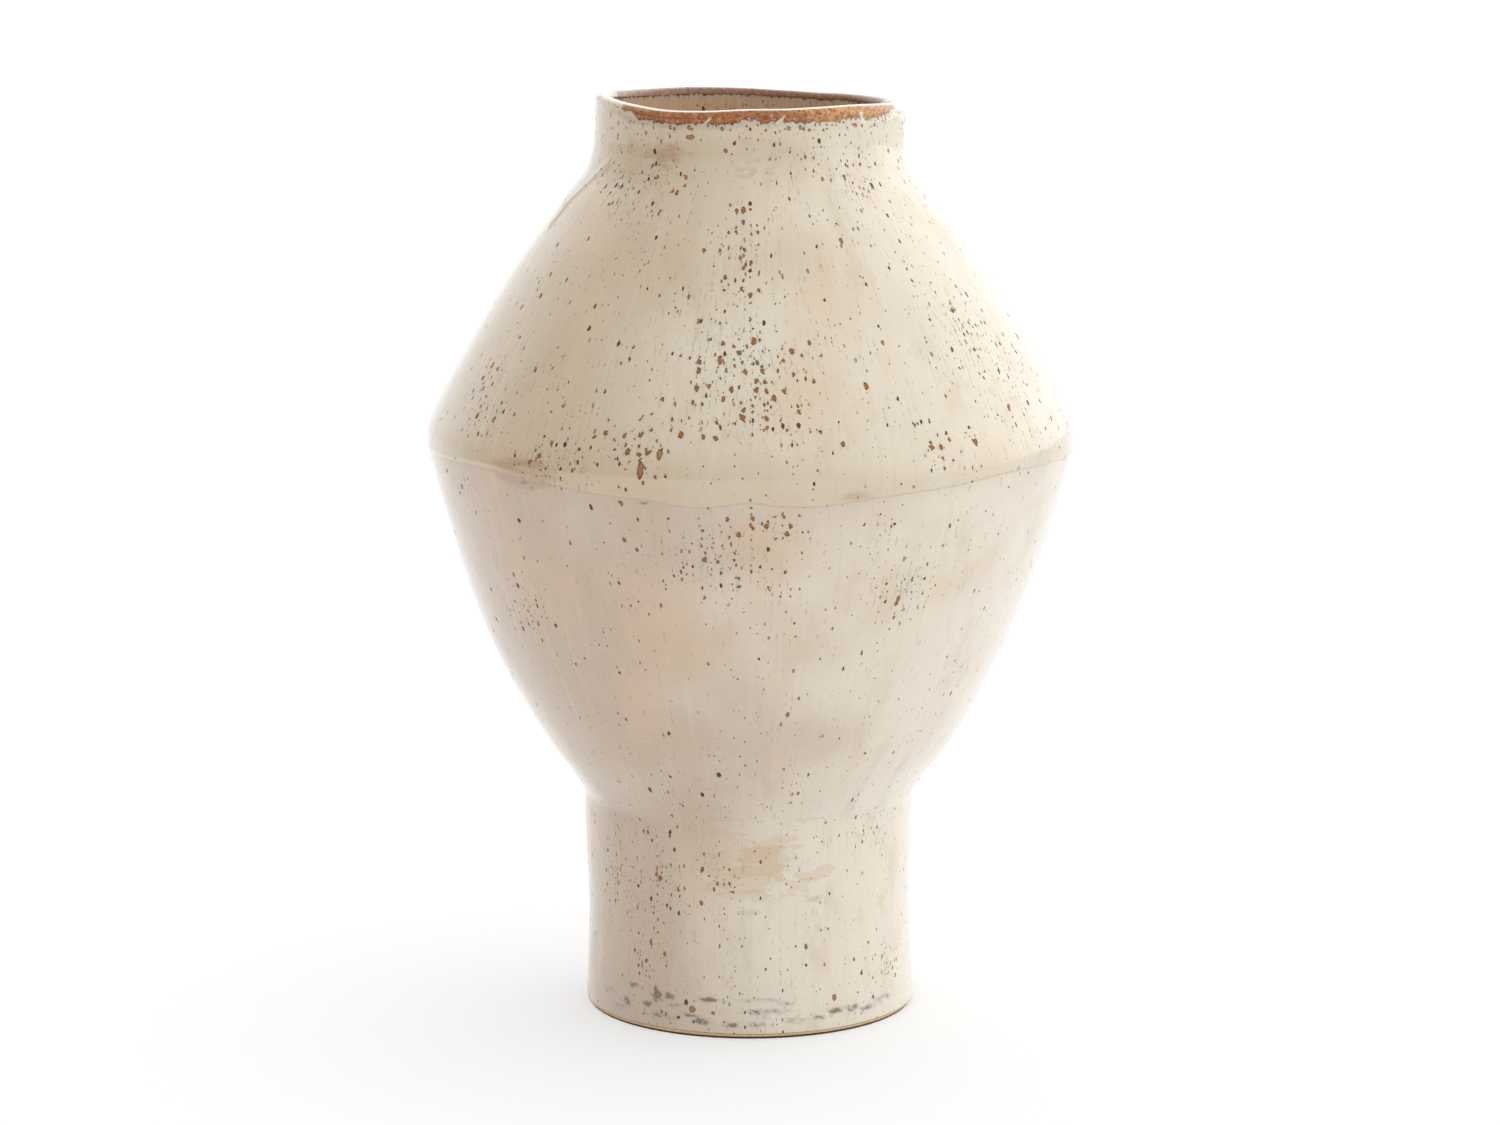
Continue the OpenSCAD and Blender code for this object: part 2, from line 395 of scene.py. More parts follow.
def relief(turn, height):
    """How far the face of the outer glaze stands off the wall's own form."""
    soft = 0.20 * lumps(turn, height, 24, 22, 21) + 0.10 * lumps(turn, height, 52, 11, 22)
    fine = 0.03 * lumps(turn, height, 130, 9, 23) + 0.02 * lumps(turn, height, 210, 5, 24)
    above = height - OVERLAP - overlap_line(turn)
    upper_coat = 0.34 * ramp(above, -0.1, 1.1) + 0.22 * bell(above, 1.6, 1.3)
    upper_coat = upper_coat * (1 + 0.35 * ripple(turn, 30, 25))
    upper_coat = upper_coat * (above > -0.2)
    under_band = height - band_edge(turn)
    roll = 0.22 * bell(under_band, -2.2, 1.7) - 0.14 * ramp(under_band, -1, 0.5)
    ridge = 0.35 * bell(height, RIDGE_Z, 2.8) * (0.7 + 0.5 * ripple(turn, 14, 26))
    wrinkle = 0.8 * bell(crease_distance(turn, height), 0, 1.5)
    foot_roll = 0.25 * bell(height, GLAZE_FOOT + 3.5, 2.2)
    return soft + fine + upper_coat + roll + ridge + wrinkle + foot_roll


# -------- meshes


def linked(name, data):
    """A new object in the scene."""
    found = bpy.data.objects.new(name, data)
    bpy.context.scene.collection.objects.link(found)
    return found


def mesh_object(name, points, faces):
    mesh = bpy.data.meshes.new(name)
    mesh.from_pydata(points, [], faces)
    return linked(name, mesh)


LIP_ENDS = (12, 168)  # degrees where the lip's arc meets the profiles

# A loop is a list of points. They take their radius from a profile or, without one, state it.
# share is how much of the relief they follow. part is 1 on the outside, 0 on the lip and -1 inside.
Point = namedtuple("Point", "profile height radius share part")


def stretch(profile, heights, share=0.0, part=1):
    """Points on a profile."""
    return [Point(profile, float(h), 0.0, share, part) for h in heights]


def lip_arc(half, steps):
    """Points round the lip, from the outside (0 degrees) to the inside (180)."""
    angles = np.radians(np.linspace(*LIP_ENDS, steps))
    return [Point(None, LIP_Z + half * math.sin(a), LIP_R + half * math.cos(a), 0.0, 0) for a in angles]


def at_radius(points, part=1):
    """Points given as (height, radius)."""
    return [Point(None, float(h), float(r), 0.0, part) for h, r in points]


INNER_BAND = 3.6  # mm that the brown band reaches down inside


def fields(turn, height, part):
    """What the materials read at each point of the glaze."""
    outside = height - band_edge(turn)
    outside = outside - 12 * cream_lip(turn) - 10 * cream_run(turn, height)
    inside = height - (TOP - INNER_BAND) + 0.4 * ripple(turn, 34, 31)
    on_lip = 6.0 - 10 * cream_lip(turn)
    frontal = np.cos(np.radians(turn))
    near_top = ramp(height, TOP - 0.9, TOP - 0.2)
    return {
        **speck_fields(turn, height),
        **color_fields(turn, height),
        "band": np.where(part > 0, outside, np.where(part < 0, inside, on_lip)),
        "coat": height - OVERLAP - overlap_line(turn),
        "height": height,
        # Painted highlight: the lip's top is whitened on the front half only, where light glints on it.
        "crest_highlight": np.where(part == 0, near_top, 0.0) * ramp(frontal, -0.15, 0.35),
        "crease": crease_distance(turn, height),
        "inner": np.where(part < 0, 1.0, np.where(part > 0, 0.0, ramp(frontal, 0.1, -0.3))),
    }


# Clusters of specks: turn, height, width in degrees, height in mm, dark specks, rust spots
CLUSTERS = [
    (-2, 366, 7, 15, 0.6, 0.6),
    (-9, 337, 13, 20, 0.45, 0.1),
    (0, 323, 8, 12, 0.85, 1),
    (4, 307, 8, 14, 0.75, 0.75),
    (-4, 306, 12, 14, 0.5, 0.1),
    (-20, 286, 6, 12, 0.4, 0.85),
    (-36, 277, 9, 9, 0.85, 0.15),
    (-57, 300, 9, 20, 0.45, 0.1),
    (-62, 258, 5, 6, 0.6, 0),
    (-50, 207, 5, 10, 0.8, 0),
    (-46, 182, 6, 12, 0.3, 0),
    (2, 254, 5, 6, 0.5, 0.9),
    (-6, 240, 12, 12, 0.65, 0.22),
    (2, 224, 9, 12, 0.45, 0.05),
    (-20, 226, 6, 10, 0.3, 0),
    (24, 246, 3, 8, 0.55, 0),
    (29, 220, 6, 11, 0.75, 0.04),
    (51, 326, 14, 24, 0.55, 0.04),
    (66, 300, 14, 26, 0.5, 0.06),
    (37, 281, 7, 8, 0.3, 0.7),
    (38, 396, 13, 12, 0.35, 0.02),
    (-46, 392, 22, 12, 0.35, 0.05),
    (-20, 398, 20, 6, 0.3, 0.12),
    (-52, 72, 9, 14, 0.5, 0),
    (-36, 70, 11, 18, 0.45, 0.06),
    (-12, 78, 9, 16, 0.25, 0.06),
    (-36, 36, 8, 12, 0.35, 0.12),
    (57, 26, 12, 9, 0.35, 0),
    (48, 96, 10, 8, 0.3, 0),
    (118, 340, 16, 30, 0.6, 0.45),
    (150, 300, 12, 22, 0.7, 0.6),
    (178, 352, 12, 20, 0.55, 0.35),
    (-168, 286, 14, 16, 0.55, 0.7),
    (-128, 330, 16, 26, 0.6, 0.3),
    (-104, 284, 12, 12, 0.6, 0.25),
    (100, 240, 10, 14, 0.55, 0.2),
    (140, 214, 12, 14, 0.65, 0.05),
    (-150, 226, 12, 16, 0.6, 0.12),
    (-110, 190, 8, 12, 0.5, 0),
    (120, 70, 16, 18, 0.5, 0.12),
    (-160, 60, 18, 20, 0.5, 0.1),
    (-110, 44, 12, 18, 0.4, 0.1),
]


# Patches are given by turn, height, width in degrees, height in mm and amount.
# Grey smudges low on the foot and at the overlap line
SMUDGES = [
    (-58, 14, 4, 2, 0.7),
    (-52, 8, 4, 1.5, 0.8),
    (-44, 20, 2.5, 1.6, 0.9),
    (-38, 12.5, 3, 1.5, 0.9),
    (-29, 18, 2.2, 2, 1),
    (-22, 10, 4, 1.5, 0.8),
    (12, 17, 4, 1.5, 0.6),
    (16, 8.5, 4, 1.5, 0.7),
    (45, 9, 4, 1.5, 0.8),
    (-48, 11.5, 3.5, 2.2, 0.9),
    (-34, 17.5, 2.5, 3.2, 1),
    (-33, 8.5, 8, 2, 0.7),
    (-26, 14, 3, 1.5, 0.8),
    (-14.5, 18, 4, 1.3, 1),
    (-17, 7.6, 3.5, 1.4, 1.1),
    (-7, 6.5, 2.5, 1.3, 1),
    (4, 18.5, 8, 1.3, 0.6),
    (6, 13, 6, 1.6, 0.8),
    (3, 7, 4, 1.6, 0.6),
    (24, 8.7, 4, 1.4, 0.7),
    (31, 10.7, 3, 1.5, 1),
    (38, 10.5, 3, 1.8, 0.9),
    (52, 11.5, 6, 1.8, 0.7),
    (100, 10, 8, 2.6, 0.9),
    (130, 14, 6, 1.8, 0.9),
    (165, 9, 8, 2.2, 1),
    (-165, 15, 7, 1.8, 0.8),
    (-135, 9, 8, 2.2, 1),
    (-95, 12, 7, 2.2, 0.8),
    (-42, 267, 1.6, 1.2, 0.75),
    (-18, 262, 1.4, 1.2, 0.75),
    (118, 268, 1.8, 1.2, 0.7),
]


# Creamier patches in the ground
CREAMY = [(10, 50, 25, 45, 0.35), (-8, 345, 20, 55, 0.28)]
# Peach patches in it
PEACHY = [(13, 318, 9, 36, 1), (-12, 205, 16, 32, 1), (150, 240, 18, 40, 1)]
# Where warm brush strokes lie
BRUSHED = [(3, 81, 19, 17, 1), (160, 84, 22, 15, 0.8)]
# Brown stains
STAINED = [
    (-42, 271, 5.5, 5, 1.3),
    (-33, 410, 9, 6, 0.75),
    (0, 403, 9, 5, 0.45),
    (18, 266, 8, 4, 0.4),
    (130, 269, 14, 5, 0.6),
]
CLUSTER_SPREAD = 0.78  # share of a cluster's stated size that its specks crowd in
LIGHT_TURN = 62  # turn where the brown band is lightest


def speck_fields(turn, height):
    """How dense the specks, rust spots and smudges are at each point."""
    dark = 0.05 + 0.07 * ramp(height, 262, 300) + 0 * turn
    rust = 0 * turn
    for *place, wide, tall, dark_part, rust_part in CLUSTERS:
        here = mound(turn, height, *place, CLUSTER_SPREAD * wide, CLUSTER_SPREAD * tall)
        dark = np.maximum(dark, dark_part * here)
        rust = np.maximum(rust, rust_part * here)
    uneven = 1 + 0.55 * lumps(turn, height, 48, 14, 32)
    smudge = 0 * turn
    for *place_and_size, amount in SMUDGES:
        smudge = np.maximum(smudge, amount * mound(turn, height, *place_and_size))
    return {
        "dark": np.clip(dark * uneven, 0, 1),
        "rust": np.clip(rust * uneven, 0, 1),
        "smudge": smudge,
    }


def color_fields(turn, height):
    """Where the ground is creamy, paler on the right side as painted light, peach, brushed or stained,
    and the band light.
    """
    # Painted light: the sine makes the right side, where the light is strongest, creamier and paler,
    # and the left side pinker; the lumps and patches are the glaze's own tone.
    tone_and_side_light = 0.47 + 0.62 * np.sin(np.radians(turn - 2))
    tone_and_side_light = tone_and_side_light + 0.20 * lumps(turn, height, 9, 46, 33) + 0.12 * lumps(turn, height, 20, 24, 34)
    tone_and_side_light = with_patches(tone_and_side_light, turn, height, CREAMY) + 0.10 * ramp(height, 150, 95)
    return {
        "tone_and_side_light": np.clip(tone_and_side_light, 0, 1),
        "peach": np.clip(with_patches(0, turn, height, PEACHY), 0, 1),
        "brush": np.clip(with_patches(0, turn, height, BRUSHED), 0, 1),
        "umber": np.clip(with_patches(0, turn, height, STAINED), 0, 1),
        "fade": 0.35 * ramp(np.cos(np.radians(turn - LIGHT_TURN)), 0.6, 1.0) - 0.05,
    }


def grid_of(loop, columns, wander):
    """Places in mm of every loop point at every column, with its turn, height and part. A point
    with no radius stays on the axis."""
    turn = np.linspace(0, 360, columns, endpoint=False)[None, :]
    base = np.array([p.height for p in loop])[:, None]
    share = np.array([p.share for p in loop])[:, None]
    part = np.array([p.part for p in loop])[:, None] + 0 * turn
    height = warp(turn, base) if wander else base + 0 * turn
    around = np.array([p.radius for p in loop])[:, None] + 0 * turn
    out = np.ones_like(height)
    up = np.zeros_like(height)
    for index, point in enumerate(loop):
        if point.profile is not None:
            at = height[index]
            around[index] = radius(point.profile, at)
            slope = (radius(point.profile, at + 1) - radius(point.profile, at - 1)) / 2
            out[index] = 1 / np.hypot(1, slope)
            up[index] = -slope * out[index]
    amount = share * relief(turn, height)
    form_out, form_up = form(turn, height)
    r = np.where(around == 0, 0, around + amount * out + form_out)
    z = height + amount * up + form_up
    angle = np.radians(turn)
    return np.stack([r * np.sin(angle), -r * np.cos(angle), z], -1), turn + 0 * height, height, part


SHARP = 50  # degrees from which an edge is shaded as a sharp one


def revolve(name, loop, columns=COLUMNS, poles=False, wander=False):
    """A closed piece from a loop of points, up the outside and down the inside. With poles, the
    loop's first and last points are single points on the axis, which come last in the mesh."""
    places, turn, height, part = grid_of(loop, columns, wander)

    def flat(values):
        shape = (-1, *values.shape[2:])
        if poles:
            return np.concatenate([values[1:-1].reshape(shape), values[0, :1], values[-1, :1]])
        return values.reshape(shape)

    rows = len(loop) - 2 if poles else len(loop)
    index = np.arange(rows * columns).reshape(rows, columns)
    nxt = np.roll(index, -1, axis=1)
    quads = np.stack([index, nxt, np.roll(nxt, -1, axis=0), np.roll(index, -1, axis=0)], -1)
    if poles:
        start, end = rows * columns, rows * columns + 1
        faces = quads[:-1].reshape(-1, 4).tolist()
        faces += [(start, b, a) for a, b in zip(index[0].tolist(), nxt[0].tolist())]
        faces += [(end, a, b) for a, b in zip(index[-1].tolist(), nxt[-1].tolist())]
    else:
        faces = quads.reshape(-1, 4).tolist()
    piece = mesh_object(name, (flat(places) * MM).tolist(), faces)
    mesh = piece.data
    for key, values in fields(turn, height, part).items():
        layer = mesh.attributes.new(key, "FLOAT", "POINT")
        layer.data.foreach_set("value", np.ascontiguousarray(flat(values), dtype=np.float32))
    mesh.polygons.foreach_set("use_smooth", [True] * len(mesh.polygons))
    mesh.set_sharp_from_angle(angle=math.radians(SHARP))
    mesh.update()
    return piece


# -------- materials


def tint(red, green, blue):
    """A colour given as a painter's 0 to 255 values, as the shader takes it."""
    linear = []
    for value in (red, green, blue):
        share = value / 255
        linear.append(share / 12.92 if share <= 0.04045 else ((share + 0.055) / 1.055) ** 2.4)
    return (*linear, 1.0)


CYLINDER_R = 110.0  # mm, radius of the cylinder that flat patterns are laid out on


class Graph:
    """A node tree, with short calls for its nodes."""

    def __init__(self, owner):
        owner.use_nodes = True
        self.tree = owner.node_tree
        self.tree.nodes.clear()

    def new(self, kind, *values, **settings):
        """A new node with its settings, and its first inputs filled."""
        node = self.tree.nodes.new("ShaderNode" + kind)
        for name, setting in settings.items():
            setattr(node, name, setting)
        for socket, value in zip(node.inputs, values):
            self.fill(socket, value)
        return node

    def fill(self, socket, value):
        if isinstance(value, bpy.types.NodeSocket):
            self.tree.links.new(value, socket)
        else:
            socket.default_value = value

    def vector(self, operation, *values):
        return self.new("VectorMath", *values, operation=operation).outputs["Vector"]

    def scaled(self, vector, scale):
        node = self.new("VectorMath", vector, operation="SCALE")
        self.fill(node.inputs["Scale"], scale)
        return node.outputs["Vector"]

    def length(self, vector):
        return self.new("VectorMath", vector, operation="LENGTH").outputs["Value"]

    def math(self, operation, a, b):
        return self.new("Math", a, b, operation=operation).outputs[0]

    def times(self, *values):
        result = values[0]
        for value in values[1:]:
            result = self.math("MULTIPLY", result, value)
        return result

    def plus(self, *values):
        result = values[0]
        for value in values[1:]:
            result = self.math("ADD", result, value)
        return result

    def swing(self, noise, amount):
        """Noise brought round 0 and scaled."""
        return self.times(self.math("SUBTRACT", noise, 0.5), amount)

    def ramp(self, value, start, end, low=0.0, high=1.0):
        node = self.new("MapRange", value, start, end, low, high, interpolation_type="SMOOTHSTEP")
        return node.outputs[0]

    def mix(self, factor, a, b):
        """Two colours mixed, by the node's colour sockets."""
        node = self.new("Mix", factor, data_type="RGBA")
        self.fill(node.inputs[6], a)
        self.fill(node.inputs[7], b)
        return node.outputs[2]

    def noise(self, vector, size=1.0, detail=2.0, roughness=0.5, output="Fac"):
        node = self.new("TexNoise", vector)
        node.inputs["Scale"].default_value = 1 / size
        node.inputs["Detail"].default_value = detail
        node.inputs["Roughness"].default_value = roughness
        return node.outputs[output]


class Surface(Graph):
    """A procedural material. Sizes are in mm."""

    def __init__(self, name):
        self.material = bpy.data.materials.new(name)
        super().__init__(self.material)
        self.shader = self.new("BsdfPrincipled")
        self.new("OutputMaterial", self.shader.outputs[0])
        self.place = self.scaled(self.new("TexCoord").outputs["Object"], 1 / MM)
        flat = self.vector("MULTIPLY", self.place, (1, 1, 0))
        self.facing = self.vector("NORMALIZE", flat)
        self.tall = self.vector("MULTIPLY", self.place, (0, 0, 1))
        # flat coordinates round the vase and up it, in mm on a cylinder, and the true scale across
        x, y, z = self.new("SeparateXYZ", self.place).outputs
        angle = self.math("ARCTAN2", x, self.math("MULTIPLY", y, -1))
        around = self.math("MULTIPLY", angle, CYLINDER_R)
        self.wrapped = self.new("CombineXYZ", around, z).outputs[0]
        self.across = self.math("DIVIDE", self.length(flat), CYLINDER_R)

    def set(self, name, value):
        """Sets an input of the shader."""
        self.fill(self.shader.inputs[name], value)

    def field(self, name):
        return self.new("Attribute", attribute_name=name).outputs["Fac"]

    def along(self, around, tall, shift=0.0):
        """Coordinates that run up the wall: around mm round the vase count as 1, and tall mm up."""
        sideways = self.scaled(self.facing, CYLINDER_R / around)
        lift = self.vector("MULTIPLY_ADD", self.tall, (0, 0, 1 / tall), (shift,) * 3)
        return self.vector("ADD", sideways, lift)

    def bent(self, vector, size, amount):
        """The same coordinates pushed about by noise, by up to amount."""
        push = self.vector("SUBTRACT", self.noise(vector, size, 1.0, output="Color"), (0.5,) * 3)
        return self.vector("MULTIPLY_ADD", push, (2 * amount,) * 3, vector)

    def reach(self, offset):
        """Length of a flat offset, with its part round the vase at true scale."""
        true_scale = self.new("CombineXYZ", self.across, 1.0).outputs[0]
        return self.length(self.vector("MULTIPLY", offset, true_scale))

    def bump(self, height):
        """A relief in mm, seen only in the shading."""
        node = self.new("Bump")
        node.inputs["Distance"].default_value = MM
        self.fill(node.inputs["Height"], height)
        self.set("Normal", node.outputs[0])


# A kind of speck: mm between their places, size in mm, height by width, and a shift of the pattern
Kind = namedtuple("Kind", "cell size lean shift")
STREAKS = Kind(2.5, 0.46, 5.0, 11.0)
BLURS = Kind(4.3, 0.9, 2.8, 17.0)
DUST = Kind(2.5, 0.36, 1.4, 23.0)
SMALL = Kind(3.4, 0.54, 1.8, 37.0)
LARGE = Kind(5.4, 0.80, 1.5, 53.0)
SPOTS = Kind(3.9, 0.98, 1.35, 71.0)
DROPS = Kind(3.4, 1.05, 1.0, 91.0)
PINHOLES = Kind(1.5, 0.36, 1.0, 97.0)

# What specks() gives: how much a point is in a speck, its depth in mm (less than 0 outside it), a
# number of the speck's own, and whether there is a speck in the cell at all
Specks = namedtuple("Specks", "here depth number shown")


def specks(s, kind, density):
    """Specks of iron, with a share of the places filled."""
    size = kind.size
    bent = s.bent(s.bent(s.wrapped, 2.4 * size, 0.8 * size), size, 0.5 * size)
    spot = s.vector("MULTIPLY_ADD", bent, (1 / kind.cell,) * 3, (kind.shift, 2 * kind.shift, 0))
    node = s.new("TexVoronoi", spot, voronoi_dimensions="2D")
    node.inputs["Scale"].default_value = 1.0
    node.inputs["Randomness"].default_value = 1.0
    first, second, third = s.new("SeparateColor", node.outputs["Color"]).outputs
    shown = s.math("LESS_THAN", first, density)
    limit = s.plus(s.times(second, second, 0.75 * size), 0.45 * size)
    offset = s.vector("SUBTRACT", spot, node.outputs["Position"])
    offset = s.vector("MULTIPLY", offset, (kind.cell, kind.cell / kind.lean, 0))
    depth = s.math("SUBTRACT", limit, s.reach(offset))
    return Specks(s.times(s.ramp(depth, -0.10, 0.10), shown), depth, third, shown)


SHADE = tint(184, 164, 134)
PALE = tint(226, 216, 196)
UMBER = tint(196, 162, 120)
STAIN = tint(174, 136, 106)
PEACH = tint(212, 182, 150)
BLUE_GREY = tint(164, 163, 154)
DARK_SPECK = tint(80, 50, 20)
GREY_SPECK = tint(150, 138, 118)
RUST = tint(158, 102, 44)
RUST_EDGE = tint(74, 48, 24)
BAND_BROWN = tint(166, 90, 4)
BAND_LIGHT = tint(208, 144, 70)
BAND_DARK = tint(60, 28, 6)
INNER_CREAM = tint(216, 182, 148)
INNER_SHADE = tint(120, 84, 54)
CREST_HIGHLIGHT = tint(240, 232, 214)
SMUDGE_GREY = tint(164, 164, 148)
SMUDGE_HEART = tint(116, 78, 60)
UNDER_COAT = tint(188, 166, 148)
COAT_EDGE = tint(172, 158, 132)
COAT_LIP = tint(192, 166, 130)
CLAY_PATCH = tint(214, 186, 148)
CLAY_LINE = tint(122, 84, 50)
# Felt browns, dark enough to also stand for the painted shadow line under the foot
FELT_AND_SHADOW_DARK = tint(42, 35, 28)
FELT_AND_SHADOW_LIGHT = tint(78, 67, 54)
GLOSS = 0.10  # least roughness of the glaze


def ground(s, pink, cream):
    """Two creams that drift into each other, with cloudy patches and fine runs down the wall."""
    drift = s.swing(s.noise(s.place, 34.0, 3), 0.5)
    # The two creams follow the tone field, whose side-to-side part is painted light.
    color = s.mix(s.ramp(s.plus(s.field("tone_and_side_light"), drift), 0.1, 1.0), pink, cream)
    runs = s.noise(s.along(2.4, 40.0), detail=3, roughness=0.65)
    color = s.mix(s.ramp(runs, 0.50, 0.80, 0.0, 0.22), color, SHADE)
    pale_runs = s.noise(s.along(4.0, 60.0, 7.0), detail=3, roughness=0.6)
    color = s.mix(s.ramp(pale_runs, 0.52, 0.80, 0.0, 0.22), color, PALE)
    cloud = s.noise(s.along(18.0, 30.0, 3.0), detail=4, roughness=0.6)
    color = s.mix(s.ramp(cloud, 0.50, 0.72, 0.0, 0.28), color, SHADE)
    peach = s.noise(s.along(30.0, 40.0, 6.0), detail=3, roughness=0.55)
    peach = s.plus(peach, s.times(s.field("peach"), 0.16))
    return s.mix(s.ramp(peach, 0.50, 0.74, 0.0, 0.42), color, PEACH)


def brushwork(s, color):
    """Brush strokes, warmer than the ground, and brown stains."""
    warmth = s.times(s.field("brush"), 0.42)
    strokes = s.times(s.noise(s.along(36.0, 9.0, 5.0), detail=3), 1.2)
    second = s.times(s.noise(s.along(28.0, 6.5, 8.0), detail=3), 1.2)
    brushed = s.times(s.ramp(s.plus(strokes, warmth), 0.90, 0.92), 0.26)
    brushed_again = s.times(s.ramp(s.plus(second, warmth), 0.95, 0.97), 0.24)
    color = s.mix(s.plus(brushed, brushed_again), color, UMBER)
    stain = s.plus(s.field("umber"), s.swing(s.noise(s.along(9.0, 3.5, 1.0), detail=3), 1.3))
    return s.mix(s.ramp(stain, 0.30, 0.80, 0.0, 0.6), color, STAIN)


def overlap(s, color):
    """The overlap line: a light edge, a yellower thick lip above it and a cooler shade under it."""
    coat = s.field("coat")
    under = s.times(s.ramp(coat, -5.0, -0.2), s.ramp(coat, -0.1, 0.2, 1.0, 0.0))
    color = s.mix(s.times(under, 0.12), color, UNDER_COAT)
    edge = s.times(s.ramp(coat, -0.9, -0.2), s.ramp(coat, 0.1, 0.7, 1.0, 0.0))
    color = s.mix(s.times(edge, 0.40), color, COAT_EDGE)
    thick = s.times(s.ramp(coat, 0.3, 1.5), s.ramp(coat, 3.0, 12.0, 1.0, 0.0))
    return s.mix(s.times(thick, 0.10), color, COAT_LIP)


def lining(s, color):
    """The inside's own colour, with dark runs."""
    runs = s.noise(s.along(1.5, 30.0, 4.0), detail=3, roughness=0.7)
    inner_color = s.mix(s.ramp(runs, 0.45, 0.80, 0.0, 0.45), INNER_CREAM, INNER_SHADE)
    return s.mix(s.field("inner"), color, inner_color)


def smudges(s, color):
    """Blue-grey smudges with brownish hearts, low on the foot and at the overlap line."""
    ragged = s.swing(s.noise(s.along(4.5, 2.2, 9.0), detail=3, roughness=0.6), 1.5)
    smudge = s.plus(s.field("smudge"), ragged, 0.08)
    color = s.mix(s.ramp(smudge, 0.30, 0.85, 0.0, 0.62), color, SMUDGE_GREY)
    return s.mix(s.ramp(smudge, 0.68, 1.0, 0.0, 0.8), color, SMUDGE_HEART)


def iron(s, color):
    """Specks of iron, from faint grey streaks to rust spots. Returns also where they are and their
    relief."""
    dark = s.field("dark")
    rust = s.field("rust")
    for kind, density, strength in ((STREAKS, 0.85, 0.30), (BLURS, 0.45, 0.15)):
        faint = specks(s, kind, s.times(dark, density)).here
        color = s.mix(s.times(faint, strength), color, GREY_SPECK)
    dust = specks(s, DUST, s.plus(s.times(dark, 0.85), 0.03))
    color = s.mix(s.times(dust.here, s.ramp(dust.number, 0.0, 1.0, 0.45, 0.95)), color, DARK_SPECK)
    small = specks(s, SMALL, s.plus(s.times(dark, 0.78), 0.01))
    color = s.mix(s.times(small.here, s.ramp(small.number, 0.0, 1.0, 0.55, 1.0)), color, DARK_SPECK)
    large = specks(s, LARGE, s.times(dark, 0.50))
    rusty = s.math("LESS_THAN", large.number, s.plus(s.times(rust, 0.8), 0.35))
    rusty = s.times(s.ramp(large.depth, 0.0, 0.3), rusty)
    color = s.mix(s.times(large.here, 0.95), color, s.mix(rusty, RUST_EDGE, RUST))
    spots = specks(s, SPOTS, s.times(rust, 0.85))
    halo = s.times(s.ramp(spots.depth, -1.5, 0.0), spots.shown)
    color = s.mix(s.times(halo, 0.22), color, BLUE_GREY)
    color = s.mix(spots.here, color, s.mix(s.ramp(spots.depth, 0.05, 0.42), RUST_EDGE, RUST))
    pits = s.plus(s.times(small.here, -0.05), s.times(large.here, -0.07), s.times(spots.here, -0.09))
    return color, s.plus(small.here, large.here, spots.here), pits


def marks(s, color, places):
    """Single iron spots large enough to tell apart: turn, height, half width and half height in mm."""
    ragged = s.bent(s.bent(s.wrapped, 2.0, 0.5), 0.7, 0.3)
    for turn, height, wide, tall in places:
        offset = s.vector("SUBTRACT", ragged, (CYLINDER_R * math.radians(turn), height, 0))
        reach = s.reach(s.vector("MULTIPLY", offset, (1 / wide, 1 / tall, 0)))
        heart = s.mix(s.ramp(reach, 0.95, 0.6), RUST_EDGE, RUST)
        color = s.mix(s.ramp(reach, 1.15, 0.9), color, heart)
    return color


def iron_band(s, color):
    """The brown band where the glaze runs thin over the lip, with painted shade on it inside the mouth
    and a painted highlight along the front lip's top. Returns also its extent and relief.
    """
    inner = s.field("inner")
    ragged = s.swing(s.noise(s.along(3.0, 2.2, 2.0), detail=4, roughness=0.65), 5.5)
    band = s.plus(s.field("band"), ragged)
    halo = s.times(s.ramp(band, -4.0, -0.3), s.ramp(band, 0.0, 0.5, 1.0, 0.0))
    color = s.mix(s.times(halo, 0.34), color, BLUE_GREY)
    near = s.times(s.ramp(band, -4.2, -2.6), s.ramp(inner, 0.9, 0.1), 0.55)
    drops = specks(s, DROPS, near)
    drop_color = s.mix(s.ramp(drops.depth, 0.1, 0.5), RUST_EDGE, RUST)
    color = s.mix(s.times(drops.here, 0.95), color, drop_color)
    fade = s.plus(s.noise(s.place, 2.6, 3, 0.6), s.field("fade"))
    brown = s.mix(s.ramp(fade, 0.40, 0.72), BAND_BROWN, BAND_LIGHT)
    brown = s.mix(s.ramp(band, 0.1, 1.6, 0.65, 0.0), brown, BAND_DARK)
    pinholes = specks(s, PINHOLES, 0.75)
    brown = s.mix(s.times(pinholes.here, 0.65), brown, BAND_DARK)
    grain = s.noise(s.place, 1.7, 4, 0.7)
    brown = s.mix(s.ramp(grain, 0.46, 0.64, 0.0, 0.7), brown, BAND_DARK)
    # Painted shade: the band is darkened inside the mouth and on the back of the lip.
    brown = s.mix(s.times(inner, 0.38), brown, BAND_DARK)
    in_band = s.ramp(band, -0.25, 0.45)
    color = s.mix(in_band, color, brown)
    # Painted highlight: a whitish line along the front lip's top.
    crest_highlight = s.ramp(s.plus(s.field("crest_highlight"), s.swing(s.noise(s.place, 3.0), 0.5)), 0.25, 0.8)
    color = s.mix(s.times(crest_highlight, 0.85), color, CREST_HIGHLIGHT)
    return color, in_band, s.times(pinholes.here, in_band, -0.06)


